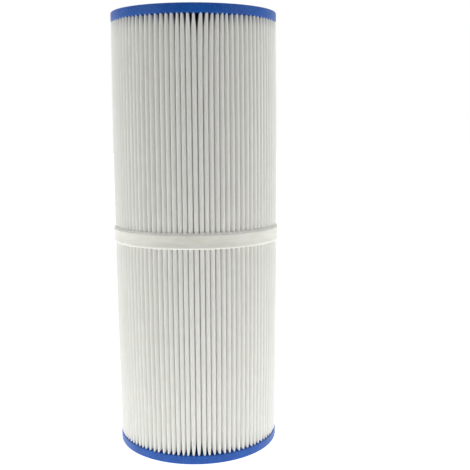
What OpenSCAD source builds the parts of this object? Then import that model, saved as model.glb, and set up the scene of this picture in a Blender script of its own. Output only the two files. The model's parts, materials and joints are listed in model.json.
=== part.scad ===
// Pleated filter cartridge for a pool or spa: two cast end caps, a fan-folded
// fabric sheet round a perforated core, and a strap glued round the pleats.
// Millimetres. The axis is Z and the lower cap's face lies on Z = 0.

/* [Cartridge] */
// Overall length over both end caps
cartridge_l = 336; // [280:1:420]
// Diameter of the end caps
cap_d = 126; // [124:0.5:140]
// Diameter of the hole through each end cap
bore_d = 54; // [50:0.5:54]

/* [End caps] */
// Height of an end cap
cap_t = 6.6; // [6.5:0.1:10]
// Depth to which the pleats and the core are cast into a cap
pot_depth = 4.5; // [3:0.1:4.5]
// Radius on the outer edge of a cap's face
cap_edge_r = 0.9; // [0.3:0.1:1.2]
// Radius on the rim where the cap meets the pleats
rim_edge_r = 0.3; // [0.1:0.05:0.35]
// Depth of the shallow moulded recess in a cap's face
face_recess = 0.7; // [0.3:0.1:0.9]
// Width of the sealing land round the hole
seal_land_w = 5.5; // [4:0.5:7]
// Width of the land round the outer edge
rim_land_w = 4; // [3:0.5:6]
// Lead-in chamfer at the mouth of the hole
bore_chamfer = 0.8; // [0.3:0.1:1.2]

/* [Pleats] */
// Number of pleats
pleat_count = 98; // [80:2:100]
// Thickness of the filter fabric
media_t = 0.6; // [0.4:0.05:0.6]
// Distance from the pleat tips out to the rim of a cap
tip_inset = 0.4; // [0.4:0.1:2]
// Bend radius of the sheet's middle line at a tip
tip_fold_r = 0.9; // [0.7:0.05:1.2]
// Bend radius of the sheet's middle line at a root
root_fold_r = 0.42; // [0.4:0.01:0.44]
// Width of the lap where the two ends of the sheet are glued
seam_lap = 12; // [8:1:14]

/* [Core] */
// Outside diameter of the core
core_d = 61; // [60:0.5:61]
// Wall of the core
core_wall = 2.5; // [2:0.1:2.5]
// Columns of windows round a core section
window_cols = 10; // [8:2:12]
// Rows of windows in a core section
window_rows = 7; // [5:1:8]
// Width of a window
window_w = 12; // [8:0.5:13]
// Height of a window
window_h = 9.5; // [7:0.5:10]
// Length of the half-lap joint between two core sections
lap_l = 5; // [3:0.5:6]

/* [Centre band] */
// Width of the band
band_w = 10.5; // [8:0.5:14]
// Thickness of the band at its edges
band_t = 1.4; // [1:0.05:1.6]
// Hollow of the band's outer face
band_hollow = 0.3; // [0.1:0.05:0.4]
// Radius on the band's outer edges
band_edge_r = 0.5; // [0.3:0.05:0.6]
// Length of the slanting glued joint between the band's two ends
scarf_l = 14; // [8:1:16]
// Size of the glue bead between the band's edge and the pleat tips
glue_fillet = 0.8; // [0.5:0.1:1]

/* [Hidden] */
$fn = 96;

// Clearance that keeps two glued faces from sharing volume
film = 0.02;
// How far a cutter passes the face that it opens
past = 1;

cap_r = cap_d / 2;
bore_r = bore_d / 2;
// Thickness of cap under the ends of the pleats and the core
pot_floor = cap_t - pot_depth;
mid_z = cartridge_l / 2;
// The pleats and the stacked core run from one cap's floor to the other's
inner_l = cartridge_l - 2 * pot_floor;

core_r = core_d / 2;
core_bore_r = core_r - core_wall;
core_mid_r = (core_r + core_bore_r) / 2;
core_sections = 3;
section_l = inner_l / core_sections;
// Plain wall between a joint and the nearest row of windows
plain_l = 2;
window_pitch = (section_l - 2 * (lap_l + plain_l)) / window_rows;

tip_r = cap_r - tip_inset;
// Gap between the core and the roots of the pleats
root_gap = 0.2;
half_t = media_t / 2;
pitch_a = 360 / pleat_count;
tip_centre_r = tip_r - half_t - tip_fold_r;
root_centre_r = core_r + root_gap + half_t + root_fold_r;
// Angles round a fold, from its first flank to its second
tip_steps = [-90, -45, 0, 45, 90];
root_steps = [-90, 0, 90];
// Glue film between the two ends of the sheet, and the radii that the lap spans
seam_film = 0.2;
seam_mid_r = 51;
lap_far_r = seam_mid_r + seam_lap / 2;
lap_near_r = seam_mid_r - seam_lap / 2;

band_in_r = tip_r + film;
band_out_r = band_in_r + band_t;
// The band's ends are cut on a slant, with glue between them, on the side away
// from the front: the cut runs from the outer face in to the inner one
scarf_glue_t = 0.15;
scarf_out_y = sqrt(band_out_r ^ 2 - (scarf_l / 2) ^ 2);
scarf_in_y = sqrt(band_in_r ^ 2 - (scarf_l / 2) ^ 2);
scarf_tilt = atan2(scarf_in_y - scarf_out_y, scarf_l);
// Part of the fillet's size at which a glue bead's hollow face sits
bead_dip = 0.35;

// ---- Directions and points ----

// Unit vector at angle a
function out_dir(a) = [cos(a), sin(a)];
// Unit vector a quarter turn ahead of angle a
function along_dir(a) = [-sin(a), cos(a)];
// Point at radius r, shifted by s round the ring
function at(a, r, s) = r * out_dir(a) + s * along_dir(a);
function unit(v) = v / norm(v);
// Right-hand normal of the line from p to q
function normal_of(p, q) = let (d = unit(q - p)) [d[1], -d[0]];
function reversed(list) = [for (i = [len(list) - 1:-1:0]) list[i]];
// Points of an arc about c, in the plane of a half section
function arc(c, r, a0, a1, n = 4) =
    [for (i = [0:n]) c + r * out_dir(a0 + (a1 - a0) * i / n)];

// ---- The folded sheet ----

// A fold at a tip: the sheet turns round the fold's centre, bulging outwards
function tip_fold(a, r) =
    [for (p = tip_steps) at(a, tip_centre_r + r * cos(p), r * sin(p))];
// A fold at a root, bulging towards the axis
function root_fold(a, r) =
    [for (p = root_steps) at(a, root_centre_r - r * cos(p), r * sin(p))];
// One face of the sheet: side is 1 for the outer face and -1 for the inner one
function sheet_side(side) = [
    for (k = [0:pleat_count - 1]) each concat(
        root_fold(k * pitch_a, root_fold_r - side * half_t),
        tip_fold((k + 0.5) * pitch_a, tip_fold_r + side * half_t)
    )
];

// The flank that holds the seam runs from the last tip in to the first root
seam_tip = at(-pitch_a / 2, tip_centre_r, tip_fold_r);
seam_root = at(0, root_centre_r, -root_fold_r);
// It points ahead round the ring
seam_n = normal_of(seam_tip, seam_root);
// Each end of the sheet is set off the flank's line by this much
seam_shift = (media_t + seam_film) / 2;
function on_flank(r) =
    let (f = (norm(seam_tip) - r) / (norm(seam_tip) - norm(seam_root)))
    seam_tip + f * (seam_root - seam_tip);
// A point of the lap: s is the shift across the flank
function on_lap(r, s) = on_flank(r) + s * seam_n;

// The sheet starts at the lap's far end, on the side of the first root, and
// ends at the lap's near end, so the two ends lie face to face
function sheet_outline() = concat(
    [on_lap(lap_far_r, seam_shift + half_t), on_lap(lap_near_r, seam_shift + half_t)],
    sheet_side(1),
    [on_lap(lap_far_r, half_t - seam_shift), on_lap(lap_near_r, half_t - seam_shift)],
    [on_lap(lap_near_r, -half_t - seam_shift), on_lap(lap_far_r, -half_t - seam_shift)],
    reversed(sheet_side(-1)),
    [on_lap(lap_near_r, seam_shift - half_t), on_lap(lap_far_r, seam_shift - half_t)]
);

module sheet_prism(z0, z1) {
    translate([0, 0, z0])
        linear_extrude(height = z1 - z0)
            polygon(sheet_outline());
}

module seam_prism(z0, z1) {
    w = seam_film / 2 - film;
    translate([0, 0, z0])
        linear_extrude(height = z1 - z0)
            polygon([
                on_lap(lap_far_r, w), on_lap(lap_near_r, w),
                on_lap(lap_near_r, -w), on_lap(lap_far_r, -w)
            ]);
}

module ring(r_out, r_in, z0, z1) {
    translate([0, 0, z0])
        difference() {
            cylinder(r = r_out, h = z1 - z0);
            translate([0, 0, -past])
                cylinder(r = r_in, h = z1 - z0 + 2 * past);
        }
}

// ---- End caps ----

// Half section of the lower cap: its face is Z = 0 and the pleats stand on top
function cap_profile() = concat(
    [[bore_r + bore_chamfer, 0], [bore_r + seal_land_w, 0]],
    [[bore_r + seal_land_w + face_recess, face_recess]],
    [[cap_r - rim_land_w - face_recess, face_recess], [cap_r - rim_land_w, 0]],
    arc([cap_r - cap_edge_r, cap_edge_r], cap_edge_r, -90, 0),
    arc([cap_r - rim_edge_r, cap_t - rim_edge_r], rim_edge_r, 0, 90),
    [[bore_r, cap_t], [bore_r, bore_chamfer]]
);

// What is cast into a cap, between two heights
module cast_in(z0, z1) {
    sheet_prism(z0, z1);
    seam_prism(z0, z1);
    ring(core_r, core_bore_r, z0, z1);
}

module bottom_end_cap() {
    color("royalblue")
        difference() {
            rotate_extrude() polygon(cap_profile());
            cast_in(pot_floor, cap_t + past);
        }
}

// The upper cap is cast on the other end of the same pleats: its outer form is
// the lower cap's turned over, and the folds line up with the lower cap's
module top_end_cap() {
    color("royalblue")
        difference() {
            translate([0, 0, cartridge_l])
                mirror([0, 0, 1])
                    rotate_extrude() polygon(cap_profile());
            cast_in(cartridge_l - cap_t - past, cartridge_l - pot_floor);
        }
}

// ---- Filter sheet ----

module pleated_media() {
    color("whitesmoke") sheet_prism(pot_floor, pot_floor + inner_l);
}

module media_seam_glue() {
    color("ivory") seam_prism(pot_floor, pot_floor + inner_l);
}

// ---- Core ----

// Rows of windows through the wall: each box passes through both sides
module core_windows() {
    for (row = [0:window_rows - 1], col = [0:window_cols / 2 - 1])
        translate([0, 0, lap_l + plain_l + (row + 0.5) * window_pitch])
            rotate([0, 0, (col + 0.5) * 360 / window_cols])
                cube([core_d + 2 * past, window_w, window_h], center = true);
}

// One section of the stack, counted from 0 at the bottom. A spigot stands above
// its upper end and the socket in its lower end takes the spigot below.
module core_section(i, spigot, socket) {
    translate([0, 0, pot_floor + i * section_l]) {
        difference() {
            ring(core_r, core_bore_r, 0, section_l);
            core_windows();
            if (socket)
                translate([0, 0, -past]) cylinder(r = core_mid_r, h = lap_l + past);
        }
        if (spigot)
            ring(core_mid_r - film, core_bore_r, section_l, section_l + lap_l - film);
    }
}

module core_lower_section() {
    color("gainsboro") core_section(0, true, false);
}

module core_middle_section() {
    color("gainsboro") core_section(1, true, true);
}

module core_upper_section() {
    color("gainsboro") core_section(2, false, true);
}

// ---- Centre band ----

// Half section of the band: rounded edges stand proud of a hollow outer face
function band_profile() = concat(
    [[band_in_r, -band_w / 2]],
    arc([band_out_r - band_edge_r, band_edge_r - band_w / 2], band_edge_r, -90, 20),
    [[band_out_r - band_hollow, -band_w / 6], [band_out_r - band_hollow, band_w / 6]],
    arc([band_out_r - band_edge_r, band_w / 2 - band_edge_r], band_edge_r, -20, 90),
    [[band_in_r, band_w / 2]]
);

// A slab on the line of the slanting joint
module scarf_slab(length, thickness, height) {
    translate([0, (scarf_out_y + scarf_in_y) / 2, mid_z])
        rotate([0, 0, scarf_tilt])
            cube([length, thickness, height], center = true);
}

module centre_band() {
    color("honeydew")
        difference() {
            translate([0, 0, mid_z]) rotate_extrude() polygon(band_profile());
            scarf_slab(2 * scarf_l, scarf_glue_t, band_w + 2 * past);
        }
}

module band_joint_glue() {
    color("ivory")
        scarf_slab(scarf_l / 2, scarf_glue_t - 2 * film, band_w - 2 * band_edge_r);
}

// A bead of hot glue in the corner between the band's edge and the pleat tips:
// side is 1 above the band and -1 below it
module glue_bead(side) {
    z = side * (band_w / 2 + film);
    dip = bead_dip * glue_fillet;
    translate([0, 0, mid_z])
        rotate_extrude()
            polygon([
                [band_in_r, z], [band_in_r + glue_fillet, z],
                [band_in_r + dip, z + side * dip], [band_in_r, z + side * glue_fillet]
            ]);
}

module band_glue_upper() {
    color("ivory") glue_bead(1);
}

module band_glue_lower() {
    color("ivory") glue_bead(-1);
}

bottom_end_cap();
top_end_cap();
pleated_media();
media_seam_glue();
core_lower_section();
core_middle_section();
core_upper_section();
centre_band();
band_joint_glue();
band_glue_upper();
band_glue_lower();
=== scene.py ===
"""The looks of a pleated filter cartridge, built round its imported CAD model.

Metres, in the CAD model's frame: +Z runs up the cartridge's axis from the lower cap's face.
"""
import json
import math

import bmesh
import bpy
import numpy as np
from mathutils import Matrix, Vector


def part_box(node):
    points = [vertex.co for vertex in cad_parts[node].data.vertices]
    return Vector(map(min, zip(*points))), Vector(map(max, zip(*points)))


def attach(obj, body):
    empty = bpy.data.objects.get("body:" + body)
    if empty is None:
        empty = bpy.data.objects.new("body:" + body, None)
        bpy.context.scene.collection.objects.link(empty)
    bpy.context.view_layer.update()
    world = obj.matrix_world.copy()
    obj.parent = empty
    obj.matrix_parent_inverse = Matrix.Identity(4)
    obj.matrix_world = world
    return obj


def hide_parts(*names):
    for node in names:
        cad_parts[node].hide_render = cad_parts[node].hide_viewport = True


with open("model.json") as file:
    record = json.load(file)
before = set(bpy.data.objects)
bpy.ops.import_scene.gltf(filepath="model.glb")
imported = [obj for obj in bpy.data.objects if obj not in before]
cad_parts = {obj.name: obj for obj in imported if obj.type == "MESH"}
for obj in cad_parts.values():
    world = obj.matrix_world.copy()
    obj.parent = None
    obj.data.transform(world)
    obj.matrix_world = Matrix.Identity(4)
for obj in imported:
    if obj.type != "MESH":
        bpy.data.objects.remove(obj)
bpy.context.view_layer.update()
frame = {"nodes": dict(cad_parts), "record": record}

MM = 0.001
TURN = 2 * math.pi

# ---- Sizes that the CAD model gives ----

cap_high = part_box("bottom_end_cap")[1]
sheet_low, sheet_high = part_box("pleated_media")
band_low, band_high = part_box("centre_band")
mounts = {mount["name"]: mount for mount in frame["record"]["mounts"]}

total_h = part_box("top_end_cap")[1].z
cap_r = cap_high.x
cap_t = cap_high.z
bore_r = mounts["bottom_bore"]["dims"]["r_mm"] * MM
tip_r = sheet_high.y
core_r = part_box("core_lower_section")[1].x
band_r = band_high.x
band_w = band_high.z - band_low.z
band_z = (band_high.z + band_low.z) / 2

# ---- Sizes of the pleats ----

PLEATS = 98
PITCH = TURN / PLEATS
FABRIC_T = 0.6 * MM
# Half widths of a pleat are taken at the middle line of the fabric
TIP_FOLD = 1.55 * MM  # a usual one
GREATEST_FOLD = 1.85 * MM
LEAST_FOLD = 0.36 * MM  # the tightest tip that the fabric's thickness allows
SEAM_FOLD = 0.9 * MM  # the pleat beside the seam's glue is as narrow and round as in the CAD model
TIP_DEPTH = 1.55  # a tip takes this many times half its width to round over
TIP_SHARPNESS = 1.3  # 1 is an ellipse, and more makes the sides of a tip slope away sooner
GAP_LEAST, GAP_MOST = 0.05 * MM, 0.16 * MM  # space left between two pleats
ROOM_R = tip_r - 4 * MM  # the radius at which that space is left
ROOT_FOLD = 0.42 * MM
ROOT_GAP = 0.2 * MM  # space between the inner folds and the core
PINCH_LOW_H = 5.5 * MM  # how far from each cap the pleats stay pinched together
PINCH_HIGH_H = 9 * MM
EDGE_SWELL, EDGE_SWELL_H = 0.35 * MM, 1.5 * MM  # the pleats stand out as soon as they leave the caps
SWELL = 1.0 * MM  # how much further they stand out half way between the caps
WAIST, WAIST_Z, WAIST_H = 0.3 * MM, 30 * MM, 35 * MM  # they draw in a little above the lower cap
WAIST_START = 8 * MM  # and do so over this height above it
SEAM_SHIFT = 0.4 * MM  # each lapped end of the sheet is set off its flank by this much
SEAM_NEAR_R = 45 * MM
SEAM_FAR_R = 57 * MM
SHEET_ROWS = 14  # rows of the mesh between a cap and the strap

# ---- Sizes of the strap and its glue ----

STRAP_TILT = 1.3 * MM  # the strap was laid on by hand, higher at the front than at the back
STRAP_SQUEEZE = 1.1 * MM  # how far the strap's inside lies beyond the tips at the caps
STRAP_SPREAD = 0.85 * MM  # how far the swollen pleats carry the strap's outside beyond the CAD model's
SQUEEZE_H = 10 * MM  # the strap holds the pleats in over this height on each side of its middle
STRAP_JOINT = 14 * MM  # length of the slanting cut that joins the strap's ends
JOINT_GLUE_T = 0.1 * MM
FEATHER_T = 0.02 * MM  # thickness left at the strap's feather edges
UPPER_BEAD = 2.2 * MM  # how far each bead of glue reaches from inside the strap along the pleats
LOWER_BEAD = 1.4 * MM
BEAD_START = 0.6 * MM  # each bead starts this far in from the strap's edge

# ---- Sizes of the caps' mouldings ----

LAND_OUT = 4 * MM  # width of the raised land along the cap's rim
LAND_IN = 5.5 * MM  # and round its hole
RECESS = 0.7 * MM
HOLE_CHAMFER = 0.8 * MM
CREEP_GAP = 0.35 * MM  # the resin climbs a pleat within about this distance of it

# ---- The light table ----

TABLE_LIGHT = 0.88  # strength of its glow
TABLE_FRONT = 0.39  # how far it reaches from the cartridge's axis, in metres
TABLE_BACK = 5.0
TABLE_SIDE = 2.5


# ---- Helpers for meshes ----


def on_ring(angle, r, side):
    """Points at an angle and a radius, moved sideways round the ring, as an array that ends in x, y."""
    x = r * np.cos(angle) - side * np.sin(angle)
    y = r * np.sin(angle) + side * np.cos(angle)
    return np.stack(np.broadcast_arrays(x, y), -1)


def skin(name, loops, ring=False):
    """A closed mesh over loops of points: loops[i, j] is point j of loop i. A ring joins its last loop to
    the first, and otherwise both end loops are filled with a ladder of quads."""
    count, size = loops.shape[:2]
    index = np.arange(count * size).reshape(count, size)
    here, there = (index, np.roll(index, -1, 0)) if ring else (index[:-1], index[1:])
    quads = np.stack([here, np.roll(here, -1, 1), np.roll(there, -1, 1), there], -1).reshape(-1, 4)
    if not ring:
        step = np.arange(size // 2 - 1)
        rungs = np.stack([step, step + 1, size - 2 - step, size - 1 - step], -1)
        quads = np.concatenate([quads, rungs[:, ::-1], rungs + index[-1, 0]])
    mesh = bpy.data.meshes.new(name)
    mesh.from_pydata(loops.reshape(-1, 3).tolist(), [], quads.tolist())
    form = bmesh.new()
    form.from_mesh(mesh)
    bmesh.ops.recalc_face_normals(form, faces=form.faces)
    form.to_mesh(mesh)
    form.free()
    mesh.shade_smooth()
    piece = bpy.data.objects.new(name, mesh)
    bpy.context.scene.collection.objects.link(piece)
    return piece


def rounded(corners, radii, steps=4):
    """A closed half section with each corner turned into an arc of its own radius."""
    points = []
    for i, (corner, r) in enumerate(zip(corners, radii)):
        c = Vector(corner)
        before = (Vector(corners[i - 1]) - c).normalized()
        after = (Vector(corners[(i + 1) % len(corners)]) - c).normalized()
        half = before.angle(after) / 2
        a, b = c + before * r / math.tan(half), c + after * r / math.tan(half)
        centre = c + (before + after).normalized() * r / math.sin(half)
        for k in range(steps + 1):
            spoke = (a - centre).lerp(b - centre, k / steps).normalized() * r
            points.append(tuple(centre + spoke))
    return np.array(points)


def wander(rng, angle, waves, size):
    """A smooth random line round the ring: sine waves of the given counts, with the given greatest size."""
    total = np.zeros_like(angle)
    for wave in waves:
        total += rng.uniform(0.4, 1) * np.sin(wave * angle + rng.uniform(0, TURN)) / len(waves)
    return size * total


# ---- Helpers for materials ----


def tint(colour):
    """A linear colour with alpha from an sRGB hex value."""
    parts = [int(colour[i : i + 2], 16) / 255 for i in (1, 3, 5)]
    return [c / 12.92 if c <= 0.04045 else ((c + 0.055) / 1.055) ** 2.4 for c in parts] + [1.0]


def add(tree, kind, sockets=None, **settings):
    """Adds a shader node. sockets gives each input, by name or number, a value, or the socket or node that
    feeds it. A node feeds by its first output in use."""
    node = tree.nodes.new("ShaderNode" + kind)
    for name, value in settings.items():
        setattr(node, name, value)
    for name, value in (sockets or {}).items():
        if isinstance(value, bpy.types.Node):
            value = next(output for output in value.outputs if output.enabled)
        if isinstance(value, bpy.types.NodeSocket):
            tree.links.new(value, node.inputs[name])
        else:
            node.inputs[name].default_value = value
    return node


def new_material(name):
    """A material with only an output, its node tree, and the point on the object in metres."""
    material = bpy.data.materials.new(name)
    material.use_nodes = True
    tree = material.node_tree
    tree.nodes.clear()
    place = add(tree, "TexCoord").outputs["Object"]
    return material, tree, place


def finish_material(tree, **sockets):
    """Ends a material in a Principled shader. Words in the names are joined by underscores."""
    named = {name.replace("_", " "): value for name, value in sockets.items()}
    shader = add(tree, "BsdfPrincipled", named)
    add(tree, "OutputMaterial", {"Surface": shader})


def per_metre(size_mm):
    """Noise scale whose features are about this many millimetres across."""
    return 1 / (size_mm * MM)


def span(value, old_low, old_high, new_low, new_high):
    """Sockets that move a value from one range to another."""
    old = {"From Min": old_low, "From Max": old_high}
    return {"Value": value, **old, "To Min": new_low, "To Max": new_high}


# ---- Materials ----


def resin_stain_and_painted_shade(tree, place, wobble):
    """How blue the fabric is: the caps' resin creeps furthest up the depths of the folds, and painted shade
    darkens those depths beside the caps, reaching furthest under the upper cap.
    """
    parts = add(tree, "SeparateXYZ", {"Vector": place})
    height = add(tree, "Math", {0: parts.outputs["Z"], 1: wobble}, operation="ADD")
    flat = add(tree, "CombineXYZ", {"X": parts.outputs["X"], "Y": parts.outputs["Y"]})
    radius = add(tree, "VectorMath", {0: flat}, operation="LENGTH")
    # Partly the resin's stain, partly painted shade: the blue is darker deep in the folds, and reaches
    # further down from the upper cap than up from the lower one
    depth = add(tree, "MapRange", span(radius, tip_r - 4 * MM, tip_r - 0.8 * MM, 1.0, 0.1))
    over_low = span(height, cap_t + 0.2 * MM, cap_t + 2.2 * MM, 1.0, 0.0)
    under_high = span(height, total_h - cap_t - 9 * MM, total_h - cap_t + 1 * MM, 0.0, 1.0)
    low = add(tree, "MapRange", over_low, interpolation_type="SMOOTHSTEP")
    high = add(tree, "MapRange", under_high, interpolation_type="SMOOTHSTEP")
    ends = add(tree, "Math", {0: low, 1: high}, operation="MAXIMUM")
    return add(tree, "Math", {0: ends, 1: depth}, operation="MULTIPLY")


def spunbond_polyester():
    """Spunbond polyester, melt-spun and rolled flat: matt fibres that let light through, a faintly cloudy
    weight, and a blue stain where the cast caps' resin has crept up into the fabric, darkened by painted
    shade deep in the folds beside the caps."""
    material, tree, place = new_material("spunbond_polyester")
    cloud = add(tree, "TexNoise", {"Vector": place, "Scale": per_metre(9), "Detail": 3.0, "Roughness": 0.6})
    # Fibres are 0.02 mm across, so they are drawn as clumps 0.5 mm wide
    along = add(tree, "Mapping", {"Vector": place, "Scale": (1.0, 1.0, 0.35)})
    clumps = {"Vector": along, "Scale": per_metre(0.5), "Detail": 4.0, "Roughness": 0.7}
    fibre = add(tree, "TexNoise", clumps)
    weight = add(tree, "MapRange", span(cloud, 0.32, 0.68, 0, 1))
    web = add(tree, "Mix", {"Factor": weight, "A": tint("#F3F3EC"), "B": tint("#F6F6F0")}, data_type="RGBA")
    wobble = add(tree, "MapRange", span(fibre, 0, 1, -1.5 * MM, 1.5 * MM))
    stain_and_shade = resin_stain_and_painted_shade(tree, place, wobble)
    # The navy is the resin's stain and, deep in the folds beside the caps, painted shade
    colour = add(tree, "Mix", {"Factor": stain_and_shade, "A": web, "B": tint("#33508F")}, data_type="RGBA")
    rough = add(tree, "MapRange", span(fibre, 0, 1, 0.72, 0.92))
    relief = add(tree, "Bump", {"Height": fibre, "Strength": 0.3, "Distance": 0.1 * MM})
    finish_material(tree, Base_Color=colour, Roughness=rough, IOR=1.55, Specular_IOR_Level=0.2,
                    Subsurface_Weight=0.85, Subsurface_Radius=(1.0, 1.0, 1.0), Subsurface_Scale=0.8 * MM,
                    Sheen_Weight=0.1, Sheen_Roughness=0.6, Normal=relief)
    return material


def cast_urethane():
    """Blue polyurethane cast in an open mould: satin and a little mottled, with fine pits that catch the
    light."""
    material, tree, place = new_material("cast_urethane")
    blotches = {"Vector": place, "Scale": per_metre(14), "Detail": 4.0, "Roughness": 0.6}
    mottle = add(tree, "TexNoise", blotches)
    specks = {"Vector": place, "Scale": per_metre(0.8), "Detail": 3.0, "Roughness": 0.75}
    grain = add(tree, "TexNoise", specks)
    # Gas pits are about 0.1 mm across, so they are drawn 0.9 mm apart
    pits = add(tree, "TexVoronoi", {"Vector": place, "Scale": per_metre(0.9)})
    cloud = add(tree, "MapRange", span(mottle, 0.3, 0.7, 0, 1))
    body = add(tree, "Mix", {"Factor": cloud, "A": tint("#0647A0"), "B": tint("#0957B4")}, data_type="RGBA")
    speck = add(tree, "MapRange", span(grain, 0.49, 0.68, 0, 0.65))
    colour = add(tree, "Mix", {"Factor": speck, "A": body, "B": tint("#2E7FD4")}, data_type="RGBA")
    rough = add(tree, "MapRange", span(grain, 0, 1, 0.3, 0.52))
    pit_depth = add(tree, "MapRange", span(pits, 0, 0.4, 0, 1))
    uneven = add(tree, "Bump", {"Height": mottle, "Strength": 0.3, "Distance": 0.5 * MM})
    pitted = {"Height": pit_depth, "Strength": 0.25, "Distance": 0.06 * MM, "Normal": uneven}
    finish_material(tree, Base_Color=colour, Roughness=rough, IOR=1.5, Specular_IOR_Level=0.4,
                    Subsurface_Weight=0.05, Subsurface_Radius=(0.4, 0.7, 1.0), Subsurface_Scale=0.8 * MM,
                    Normal=add(tree, "Bump", pitted))
    return material


def hot_melt(name, dark, pale, gloss, depth):
    """Hot-melt adhesive, laid down molten: waxy and translucent, slightly yellow-green, with slow ripples.
    gloss is its range of roughness, and depth the height of the ripples."""
    material, tree, place = new_material(name)
    squat = add(tree, "Mapping", {"Vector": place, "Scale": (0.5, 0.5, 1.6)})
    slow_waves = {"Vector": squat, "Scale": per_metre(6), "Detail": 3.0, "Roughness": 0.55}
    ripple = add(tree, "TexNoise", slow_waves)
    dimples = {"Vector": place, "Scale": per_metre(0.9), "Detail": 2.0, "Roughness": 0.6}
    grain = add(tree, "TexNoise", dimples)
    cloud = add(tree, "MapRange", span(ripple, 0.35, 0.65, 0, 1))
    colour = add(tree, "Mix", {"Factor": cloud, "A": tint(dark), "B": tint(pale)}, data_type="RGBA")
    rough = add(tree, "MapRange", span(ripple, 0, 1, *gloss))
    slow = add(tree, "Bump", {"Height": ripple, "Strength": 0.5, "Distance": depth})
    fine = add(tree, "Bump", {"Height": grain, "Strength": 0.15, "Distance": 0.05 * MM, "Normal": slow})
    finish_material(tree, Base_Color=colour, Roughness=rough, IOR=1.49, Subsurface_Weight=0.4,
                    Subsurface_Radius=(1.0, 0.97, 0.88), Subsurface_Scale=1.5 * MM, Normal=fine)
    return material


def moulded_core():
    """Off-white ABS, injection moulded: smooth and faintly wavy, with soft flow marks along the tube."""
    material, tree, place = new_material("moulded_core")
    along = add(tree, "Mapping", {"Vector": place, "Scale": (1.0, 1.0, 0.2)})
    flow = add(tree, "TexNoise", {"Vector": along, "Scale": per_metre(7), "Detail": 3.0, "Roughness": 0.5})
    # Mould texture is about 0.1 mm across, so it is drawn 0.5 mm across
    texture = {"Vector": place, "Scale": per_metre(0.5), "Detail": 2.0, "Roughness": 0.6}
    grain = add(tree, "TexNoise", texture)
    cloud = add(tree, "MapRange", span(flow, 0.35, 0.65, 0, 1))
    shades = {"Factor": cloud, "A": tint("#DEDED6"), "B": tint("#E9E9E3")}
    colour = add(tree, "Mix", shades, data_type="RGBA")
    rough = add(tree, "MapRange", span(flow, 0, 1, 0.36, 0.5))
    slow = add(tree, "Bump", {"Height": flow, "Strength": 0.2, "Distance": 0.2 * MM})
    fine = add(tree, "Bump", {"Height": grain, "Strength": 0.2, "Distance": 0.02 * MM, "Normal": slow})
    finish_material(tree, Base_Color=colour, Roughness=rough, IOR=1.53, Subsurface_Weight=0.05,
                    Subsurface_Radius=(1.0, 1.0, 0.9), Subsurface_Scale=1.0 * MM, Normal=fine)
    return material


def lit_acrylic():
    """Opal acrylic of a light table: plain white, lit evenly from below."""
    material, tree, place = new_material("lit_acrylic")
    haze = add(tree, "TexNoise", {"Vector": place, "Scale": per_metre(330), "Detail": 2.0})
    rough = add(tree, "MapRange", span(haze, 0, 1, 0.55, 0.65))
    finish_material(tree, Base_Color=tint("#F4F4F4"), Roughness=rough, Emission_Color=(1, 1, 1, 1),
                    Emission_Strength=TABLE_LIGHT)
    return material


# ---- How the pleats lie ----


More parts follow.
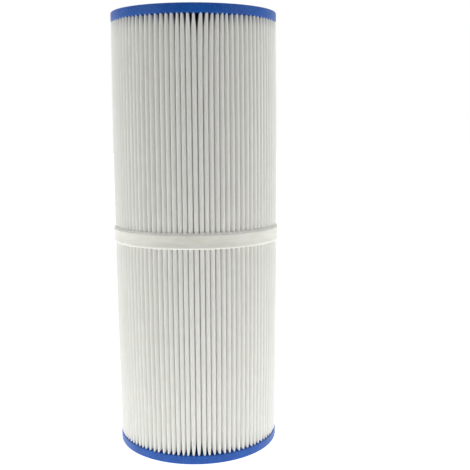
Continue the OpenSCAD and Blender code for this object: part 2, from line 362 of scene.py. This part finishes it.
class Pleats:
    """The unevenness of the folded pleats: each one leans, sways and varies in width by its own amount."""

    def __init__(self, seed):
        rng = np.random.RandomState(seed)
        self.tip = (np.arange(PLEATS) + 0.5) * PITCH
        self.root = np.arange(PLEATS) * PITCH
        even = np.ones(PLEATS)
        even[[0, -1]] = 0  # the folds beside the seam stay where the seam's glue is
        self.lean = even * rng.uniform(-1, 1, PLEATS) * math.radians(0.34)
        self.shift_low = even * rng.uniform(-1, 1, PLEATS) * math.radians(0.1)
        self.shift_mid = even * rng.uniform(-1, 1, PLEATS) * math.radians(0.07)
        self.shift_high = even * rng.uniform(-1, 1, PLEATS) * math.radians(0.22)
        self.sway = even * rng.uniform(0, 1, PLEATS) * math.radians(0.006)
        self.sway_waves = rng.uniform(1.5, 4, PLEATS)
        self.sway_phase = rng.uniform(0, TURN, PLEATS)
        self.gap = rng.uniform(GAP_LEAST, GAP_MOST, PLEATS)
        self.drop = rng.uniform(0, 0.15, PLEATS) * MM
        self.pinch_low = rng.uniform(0.66, 0.84, PLEATS)
        self.pinch_high = rng.uniform(0.46, 0.66, PLEATS)
        self.creep = rng.uniform(0.5, 1.3, PLEATS) * MM
        self.bow = rng.uniform(-0.1, 0.1, (PLEATS, 2)) * MM
        # A few pleats were pushed over by hand beside the upper cap
        self.nudge = np.zeros(PLEATS)
        for first, degrees in ((74, (0.7, 1.3, 1.3, 1.0, 0.6)), (20, (-0.8, -0.5)), (47, (0.7,))):
            self.nudge[first : first + len(degrees)] = np.radians(degrees)

    def at_height(self, z):
        """At a height, each pleat's angle, half its width on both sides, and how far out its tip reaches."""
        part = (z - cap_t) / (total_h - 2 * cap_t)
        part = min(max(part, 0.0), 1.0)
        # The shifts at the lower cap, the band and the upper cap are joined smoothly
        low = (1 - part) * (1 - 2 * part)
        mid = 4 * part * (1 - part)
        high = part * (2 * part - 1)
        shift = self.lean + low * self.shift_low + mid * self.shift_mid + high * self.shift_high
        shift = shift + self.sway * np.sin(self.sway_waves * TURN * part + self.sway_phase)
        shift = shift + self.nudge * part ** 14
        above_low = max(z - cap_t, 0)
        below_high = max(total_h - cap_t - z, 0)
        pinch = (self.pinch_low * math.exp(-(above_low / PINCH_LOW_H) ** 1.1)
                 + self.pinch_high * math.exp(-(below_high / PINCH_HIGH_H) ** 2))
        tip = self.tip + shift
        ahead = (np.roll(tip, -1) - tip) % TURN
        room = np.stack([np.roll(ahead, 1), ahead]) / 2 * ROOM_R
        spare = FABRIC_T / 2 + np.stack([np.roll(self.gap, 1), self.gap]) / 2
        fold = np.minimum(GREATEST_FOLD, room - spare)
        fold = np.maximum(fold * (1 - pinch), LEAST_FOLD)
        fold[:, -1] = np.minimum(fold[:, -1], SEAM_FOLD)
        edge = min(above_low, below_high)
        swell = EDGE_SWELL * (1 - math.exp(-edge / EDGE_SWELL_H)) + SWELL * math.sin(math.pi * part) ** 0.8
        waist = WAIST * math.exp(-((z - WAIST_Z) / WAIST_H) ** 2) * (1 - math.exp(-above_low / WAIST_START))
        clear_strap = STRAP_SQUEEZE - 0.05 * MM
        squeeze = (swell - clear_strap) * math.exp(-((z - band_z) / SQUEEZE_H) ** 4)
        reach = tip_r - self.drop + swell - waist - max(squeeze, 0)
        return tip, fold, reach

    def middle_line(self, z):
        """Points along the middle of the fabric at a height, from one lapped end of the sheet to the
        other."""
        tip, fold, reach = self.at_height(z)
        root = self.root + 0.4 * (tip - self.tip)
        root[0] = self.root[0]
        root_centre = core_r + ROOT_GAP + FABRIC_T / 2 + ROOT_FOLD
        half = fold.mean(0)
        depth = half * (1 + (TIP_DEPTH - 1) * (half - LEAST_FOLD) / (TIP_FOLD - LEAST_FOLD))
        depth[-1] = half[-1]
        tip_centre = reach - FABRIC_T / 2 - depth
        turn_in = np.radians([-90, 0, 90])
        turn_out = np.radians([-90, -62, -34, 0, 34, 62, 90])
        root_r = root_centre - ROOT_FOLD * np.cos(turn_in)
        root_arc = on_ring(root[:, None], root_r, ROOT_FOLD * np.sin(turn_in))
        side = np.where(turn_out < 0, fold[0][:, None], fold[1][:, None])
        across = side * np.sign(turn_out) * np.abs(np.sin(turn_out)) ** TIP_SHARPNESS
        tip_arc = on_ring(tip[:, None], tip_centre[:, None] + depth[:, None] * np.cos(turn_out), across)
        next_root = np.roll(root_arc, -1, 0)
        up = self.flank(root_arc[:, -1], tip_arc[:, 0], self.bow[:, 0])
        down = self.flank(tip_arc[:, -1], next_root[:, 0], self.bow[:, 1])
        line = np.concatenate([root_arc, up, tip_arc, down], 1)
        seam_out, seam_in = tip_arc[-1, -1], root_arc[0, 0]
        along = (seam_in - seam_out) / np.linalg.norm(seam_in - seam_out)
        ahead = np.array([along[1], -along[0]]) * SEAM_SHIFT
        out_r, in_r = np.linalg.norm(seam_out), np.linalg.norm(seam_in)
        drop = (seam_in - seam_out) / (out_r - in_r)
        lap = [seam_out + (out_r - r) * drop for r in (SEAM_FAR_R, SEAM_NEAR_R)]
        open_line = line.reshape(-1, 2)[:-2]
        return np.concatenate([np.array(lap) + ahead, open_line, np.array(lap) - ahead])

    @staticmethod
    def flank(start, end, bow):
        """Two points between a root and a tip, bowed a little to one side."""
        run = end - start
        side = np.stack([run[:, 1], -run[:, 0]], -1) / np.linalg.norm(run, axis=1)[:, None]
        return np.stack([start + run * part + side * bow[:, None] for part in (1 / 3, 2 / 3)], 1)


def outline(line):
    """The closed outline of the fabric round its middle line: one face, then the other back again."""
    run = np.diff(line, axis=0)
    run /= np.linalg.norm(run, axis=1)[:, None]
    mean = np.concatenate([run[:1], run[:-1] + run[1:], run[-1:]])
    mean /= np.linalg.norm(mean, axis=1)[:, None]
    side = np.stack([mean[:, 1], -mean[:, 0]], -1) * FABRIC_T / 2
    return np.concatenate([line + side, (line - side)[::-1]])


def sheet_heights():
    """Heights of the sheet's rows, closest together beside the caps and the strap."""
    part = np.arange(SHEET_ROWS + 1) / SHEET_ROWS
    spread = part**1.9 * (1 - part**2) + (1 - (1 - part) ** 1.7) * part**2
    lower = cap_t + (total_h / 2 - cap_t) * spread
    upper = total_h - lower[-2::-1]
    return np.concatenate([[sheet_low.z], lower, upper, [sheet_high.z]])


def make_sheet(pleats):
    """The folded sheet: one loop round the fabric at each height."""
    loops = []
    for z in sheet_heights():
        flat = outline(pleats.middle_line(z))
        loops.append(np.column_stack([flat, np.full(len(flat), z)]))
    return skin("filter_sheet", np.array(loops))


# ---- End caps ----


def resin_height(pleats, angle, r, z):
    """How far the cast resin climbs at a point between the pleats, where it wets the fabric."""
    tip, fold, reach = pleats.at_height(z)
    nearest = np.argmin(np.abs((angle - tip + math.pi) % TURN - math.pi))
    off = (angle - tip[nearest] + math.pi) % TURN - math.pi
    half = fold[:, nearest].mean() + FABRIC_T / 2
    past_tip = max(r - (reach[nearest] - half), 0)
    gap = max(math.hypot(r * off, past_tip) - half, 0) if past_tip else max(abs(r * off) - half, 0)
    return pleats.creep[nearest] * math.exp(-gap / CREEP_GAP)


def make_cap(name, pleats, upper):
    """A cap as a ring of half sections, with the resin climbing the pleats on its inner side."""
    columns = PLEATS * 8
    corners = [
        (bore_r, cap_t), (bore_r, HOLE_CHAMFER), (bore_r + HOLE_CHAMFER, 0), (bore_r + LAND_IN, 0),
        (bore_r + LAND_IN + RECESS, RECESS), (cap_r - LAND_OUT - RECESS, RECESS), (cap_r - LAND_OUT, 0),
        (cap_r, 0), (cap_r, cap_t),
    ]
    radii = [0.4 * MM, 0.25 * MM, 0.25 * MM, 0.3 * MM, 0.4 * MM, 0.4 * MM, 0.3 * MM, 0.9 * MM, 0.45 * MM]
    shape = rounded(corners, radii)
    # Radii across the inner side in mm, closest together at the tips, where the resin climbs most
    wetted = [62.2, 61.9, 61.6, 61.2, 60.7, 60.1, 59.2, 57.5, 54, 48, 40, 33, 29]
    inner = np.array([(r * MM, cap_t) for r in wetted])
    section = np.concatenate([shape, inner])
    first_inner = len(shape)
    angles = np.arange(columns) * TURN / columns
    z_here = total_h - cap_t if upper else cap_t
    loops = np.empty((columns, len(section), 3))
    for i, angle in enumerate(angles):
        r, z = section[:, 0], section[:, 1].copy()
        for j in range(first_inner, len(section)):
            z[j] += resin_height(pleats, angle, r[j], z_here)
        loops[i] = np.column_stack([r * math.cos(angle), r * math.sin(angle), total_h - z if upper else z])
    return skin(name, loops, ring=True)


# ---- Centre band and its glue ----


def band_section():
    """Half section of the strap: part of its thickness from inside to outside, and height from its
    middle."""
    half = band_w / 2
    return [
        (0.0, -half + 0.15 * MM), (0.25, -half), (0.7, -half + 0.05 * MM), (0.95, -half + 0.5 * MM),
        (1.0, -half + 1.1 * MM), (0.9, -half + 2.2 * MM), (0.78, -half + 3.6 * MM), (0.74, -0.6 * MM),
        (0.8, 0.4 * MM), (0.84, 1.6 * MM), (0.88, half - 2.4 * MM), (1.0, half - 1.1 * MM),
        (0.95, half - 0.5 * MM), (0.7, half - 0.05 * MM), (0.25, half), (0.0, half - 0.15 * MM),
        (0.0, 2 * MM), (0.0, -2 * MM),
    ]


def on_strap(r, angle, z):
    """Points on the strap at radii, angles and heights, tilted with it."""
    return np.column_stack([r * np.cos(angle), r * np.sin(angle), z - STRAP_TILT * np.sin(angle)])


def joint_sides():
    """Radii of the strap's inside and outside, and the angle at which its slanting joint starts."""
    return tip_r + STRAP_SQUEEZE, band_r + STRAP_SPREAD, math.pi / 2 - STRAP_JOINT / band_r / 2


def make_band(seed):
    """One strap from its inner feather edge, round the pleats, to its outer feather edge over the joint."""
    rng = np.random.RandomState(seed)
    inside, outside, start = joint_sides()
    joint = STRAP_JOINT / band_r
    blunt = 0.04  # the feather edges are left off over this share of the joint
    sections = 600
    angle = start + np.linspace(blunt * joint, TURN + (1 - blunt) * joint, sections)
    over_start = np.clip((angle - start) / joint, 0, 1)
    over_end = np.clip((angle - start - TURN) / joint, 0, 1)
    outer = inside + (outside - inside) * over_start - JOINT_GLUE_T / 2 * (over_start < 1)
    inner = inside + (outside - inside) * over_end + JOINT_GLUE_T / 2 * (over_end > 0)
    outer = np.maximum(outer, inner + FEATHER_T)
    inner = np.minimum(inner, outer - FEATHER_T)
    wave = wander(rng, angle, (2, 3, 5, 9, 14), 0.75 * MM)
    edge_low = wander(rng, angle, (3, 7, 12, 23), 0.22 * MM)
    edge_high = wander(rng, angle, (2, 6, 13, 27), 0.22 * MM)
    hollow = 1 + wander(rng, angle, (3, 4, 8, 17), 0.5)
    loops = np.empty((sections, len(band_section()), 3))
    for j, (part, height) in enumerate(band_section()):
        in_hollow = 0.72 < part < 0.93
        dip = 1 - (1 - part) * hollow if in_hollow else part
        middle = 1 - abs(height) / (band_w / 2)
        z = band_z + height + wave * middle + (edge_high if height > 0 else edge_low) * (1 - middle) * 0.6
        r = np.maximum(inside + (outside - inside) * dip, inner)
        r = np.minimum(r, outer)
        loops[:, j] = on_strap(r, angle, z)
    return skin("centre_strap", loops)


def make_joint_glue():
    """The film of glue in the strap's slanting joint."""
    inside, outside, start = joint_sides()
    part = np.linspace(0.1, 0.9, 12)
    angle = start + part * STRAP_JOINT / band_r
    middle = inside + (outside - inside) * part
    # A little thinner and narrower than the gap that it fills
    half_t, half_w = 0.4 * JOINT_GLUE_T, band_w / 2 - 0.6 * MM
    loops = []
    for side, up in ((-1, -1), (1, -1), (1, 1), (-1, 1)):
        r = middle + side * half_t
        loops.append(on_strap(r, angle, band_z + up * half_w))
    return skin("strap_joint_glue", np.stack(loops, 1))


def make_bead(name, pleats, side, size, seed):
    """A fillet of hot glue along the strap's upper (1) or lower (-1) edge: thin over the pleat tips, and
    sagging in between them."""
    rng = np.random.RandomState(seed)
    columns = PLEATS * 7
    angle = np.arange(columns) * TURN / columns
    edge_z = band_z + side * (band_w / 2 - BEAD_START)
    tip, fold, reach = pleats.at_height(edge_z)
    off = np.abs((angle[:, None] - tip[None] + math.pi) % TURN - math.pi)
    near = off.argmin(1)
    # valley goes from 0 over a tip to 1 in the middle between two
    valley = np.clip((off.min(1) * tip_r - 0.6 * MM) / (1.2 * MM), 0, 1) ** 1.5
    spread = (size + wander(rng, angle, (3, 8, 19, 31), 0.3 * MM)) * (1 - 0.15 * valley)
    crown = band_r + STRAP_SPREAD - 0.25 * MM + wander(rng, angle, (5, 11, 23), 0.08 * MM)
    crown = crown - valley * 0.08 * MM
    floor = reach[near] - 0.15 * MM - valley * 1.3 * MM
    section = [
        (0.0, 0.0), (0.0, 0.9), (0.2, 1.0), (0.5, 0.62), (0.8, 0.3), (1.0, 0.0), (0.9, -0.2), (0.1, -0.2),
    ]
    loops = np.empty((columns, len(section), 3))
    for j, (out, along) in enumerate(section):
        r = floor + (crown - floor) * out
        loops[:, j] = on_strap(r, angle, edge_z + side * spread * along)
    return skin(name, loops, ring=True)


# ---- Studio ----


def make_floor():
    """The light table: it reaches far behind the cartridge and a short way in front of it."""
    mesh = bpy.data.meshes.new("light_table")
    corners = [(-TABLE_SIDE, -TABLE_FRONT, 0), (TABLE_SIDE, -TABLE_FRONT, 0)]
    corners += [(TABLE_SIDE, TABLE_BACK, 0), (-TABLE_SIDE, TABLE_BACK, 0)]
    mesh.from_pydata(corners, [], [(0, 1, 2, 3)])
    floor = bpy.data.objects.new("light_table", mesh)
    floor.data.materials.append(lit_acrylic())
    bpy.context.scene.collection.objects.link(floor)


def softbox(name, place, aim, width, height, power):
    """A soft area light that points from its place at a point, and isn't itself in view."""
    light = bpy.data.lights.new(name, "AREA")
    light.shape = "RECTANGLE"
    light.size, light.size_y = width, height
    light.energy = power
    lamp = bpy.data.objects.new(name, light)
    lamp.location = place
    lamp.rotation_euler = (Vector(aim) - Vector(place)).to_track_quat("-Z", "Y").to_euler()
    lamp.visible_camera = False
    bpy.context.scene.collection.objects.link(lamp)


def light_tent(front, back, seen):
    """The white tent round the table, open and dark in front, and plain white where the camera sees it."""
    world = bpy.data.worlds.new("light_tent")
    world.use_nodes = True
    tree = world.node_tree
    tree.nodes.clear()
    way = add(tree, "SeparateXYZ", {"Vector": add(tree, "TexCoord").outputs["Generated"]})
    front_to_back = span(way.outputs["Y"], -0.35, 0.35, front, back)
    glow = add(tree, "MapRange", front_to_back, interpolation_type="SMOOTHSTEP")
    path = add(tree, "LightPath")
    light = add(tree, "Background", {"Color": (1, 1, 1, 1), "Strength": glow})
    backdrop = add(tree, "Background", {"Color": (1, 1, 1, 1), "Strength": seen})
    mix = add(tree, "MixShader", {0: path.outputs["Is Camera Ray"], 1: light, 2: backdrop})
    add(tree, "OutputWorld", {"Surface": mix})
    bpy.context.scene.world = world


def make_camera():
    """Slightly above the middle, tilted down, on the cartridge's front side."""
    distance, height = 0.614, 0.2579
    tilt_down, turn_right, roll = math.radians(8.64), math.radians(2.876), math.radians(-0.308)
    level = math.cos(tilt_down)
    ahead = Vector((math.sin(turn_right) * level, math.cos(turn_right) * level, -math.sin(tilt_down)))
    right = ahead.cross(Vector((0, 0, 1))).normalized()
    up = right.cross(ahead)
    right, up = (math.cos(roll) * right + math.sin(roll) * up, math.cos(roll) * up - math.sin(roll) * right)
    data = bpy.data.cameras.new("camera")
    data.sensor_width = 36
    data.lens = 59.48
    data.clip_start = 0.01
    camera = bpy.data.objects.new("camera", data)
    camera.matrix_world = Matrix((right, up, -ahead)).transposed().to_4x4()
    camera.location = (0, -distance, height)
    bpy.context.scene.collection.objects.link(camera)
    bpy.context.scene.camera = camera


# ---- The cartridge ----


def dress(piece, material, slot, *nodes):
    """Gives a new piece its material, and lets it ride in place of its CAD nodes. slot is not used."""
    piece.data.materials.append(material)
    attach(piece, "root")
    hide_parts(*nodes)


pleats = Pleats(seed=7)
fabric = spunbond_polyester()
urethane = cast_urethane()
strap = hot_melt("hot_melt_strap", "#E9E9DD", "#F2F2E9", (0.34, 0.5), 0.5 * MM)
# The glue's colours are paler than the strap's, partly as painted light that offsets the shade on the bead
# along the strap's upper edge
glue = hot_melt("hot_melt_glue", "#F2F2E9", "#F9F9F3", (0.3, 0.5), 0.2 * MM)
core = moulded_core()

filter_sheet = make_sheet(pleats)
dress(filter_sheet, fabric, "filter_fabric", "pleated_media")
middle = pleats.middle_line(total_h / 2)

dress(make_cap("lower_cap", pleats, upper=False), urethane, "blue_cap", "bottom_end_cap")
dress(make_cap("upper_cap", pleats, upper=True), urethane, "blue_cap", "top_end_cap")
dress(make_band(seed=3), strap, "band_strap", "centre_band")
dress(make_joint_glue(), glue, "hot_glue", "band_joint_glue")
dress(make_bead("upper_glue_bead", pleats, 1, UPPER_BEAD, seed=5), glue, "hot_glue", "band_glue_upper")
dress(make_bead("lower_glue_bead", pleats, -1, LOWER_BEAD, seed=6), glue, "hot_glue", "band_glue_lower")

carried_over = {
    "core_lower_section": core, "core_middle_section": core, "core_upper_section": core,
    "media_seam_glue": glue,
}
for node, material in carried_over.items():
    frame["nodes"][node].data.materials.clear()
    frame["nodes"][node].data.materials.append(material)

make_floor()
light_tent(front=0.13, back=0.8, seen=1.0)
for side_name, x in (("left_softbox", -0.72), ("right_softbox", 0.72)):
    softbox(side_name, (x, -0.4, 0.3), (0, 0, 0.17), 0.5, 0.8, 1.3)
softbox("overhead_softbox", (0, -0.45, 0.95), (0, 0, 0.2), 1.0, 0.7, 1.65)
make_camera()
bpy.context.scene.view_settings.view_transform = "Standard"
